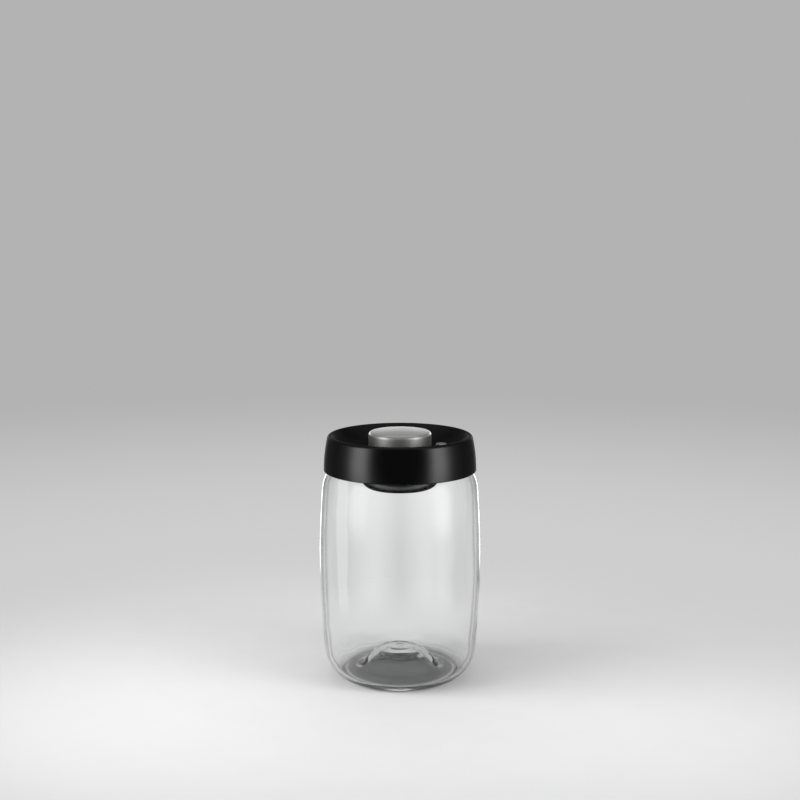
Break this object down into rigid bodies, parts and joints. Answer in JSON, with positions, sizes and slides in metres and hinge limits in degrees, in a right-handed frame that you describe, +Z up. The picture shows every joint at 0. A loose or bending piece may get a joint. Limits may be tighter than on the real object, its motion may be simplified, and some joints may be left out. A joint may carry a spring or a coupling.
{
  "type": "vacuum seal canister",
  "caption": "Barrel-shaped glass canister with a domed base and a black plug lid; a central steel push button pumps air out and a small button beside it lets air back in.",
  "frame": {"origin": "centre of the jar's foot, on the surface that it stands on", "axes": "+Z up along the jar's axis; +X to the right in the reference view, towards the release button; +Y away from the viewer"},
  "size_m": [0.105, 0.105, 0.1622],
  "materials": {
    "clear_glass": "clear, fire-polished",
    "lid_black": "satin with a very fine grain",
    "pump_black": "satin moulded",
    "inner_plastic": "plain moulded",
    "button_steel": "finely brushed",
    "silicone": "soft translucent white",
    "spring_steel": "drawn stainless wire",
    "screw_steel": "plain zinc",
    "felt": "pressed felt"
  },
  "bodies": {
    "jar": {"glass_jar": "clear_glass"},
    "lid": {"lid_shell": "lid_black", "lid_base": "pump_black", "lid_gasket": "silicone", "pump_cylinder": "pump_black", "cylinder_seal": "silicone", "strainer_cap": "pump_black", "filter_disc": "felt", "intake_valve": "silicone", "return_spring": "spring_steel", "release_spring": "spring_steel"},
    "pump_button": {"button_cap": "button_steel", "button_core": "inner_plastic", "piston": "inner_plastic", "piston_seal": "silicone", "piston_screws": "screw_steel", "exhaust_valve": "silicone"},
    "release_valve": {"release_button": "button_steel", "release_stem": "inner_plastic", "release_seal": "silicone"}
  },
  "joints": [
    {"name": "lid_lift", "type": "slide", "parent": "jar", "child": "lid", "axis": [0, 0, 1], "range_m": [0, 0.1]},
    {"name": "pump_press", "type": "slide", "parent": "lid", "child": "pump_button", "axis": [0, 0, -1], "range_m": [0, 0.009], "stiffness_N_per_m": 800, "springref_m": -0.006, "deforming": ["return_spring"]},
    {"name": "release_press", "type": "slide", "parent": "lid", "child": "release_valve", "axis": [0, 0, -1], "range_m": [0, 0.0012], "stiffness_N_per_m": 400, "springref_m": -0.003, "deforming": ["release_spring"]}
  ]
}
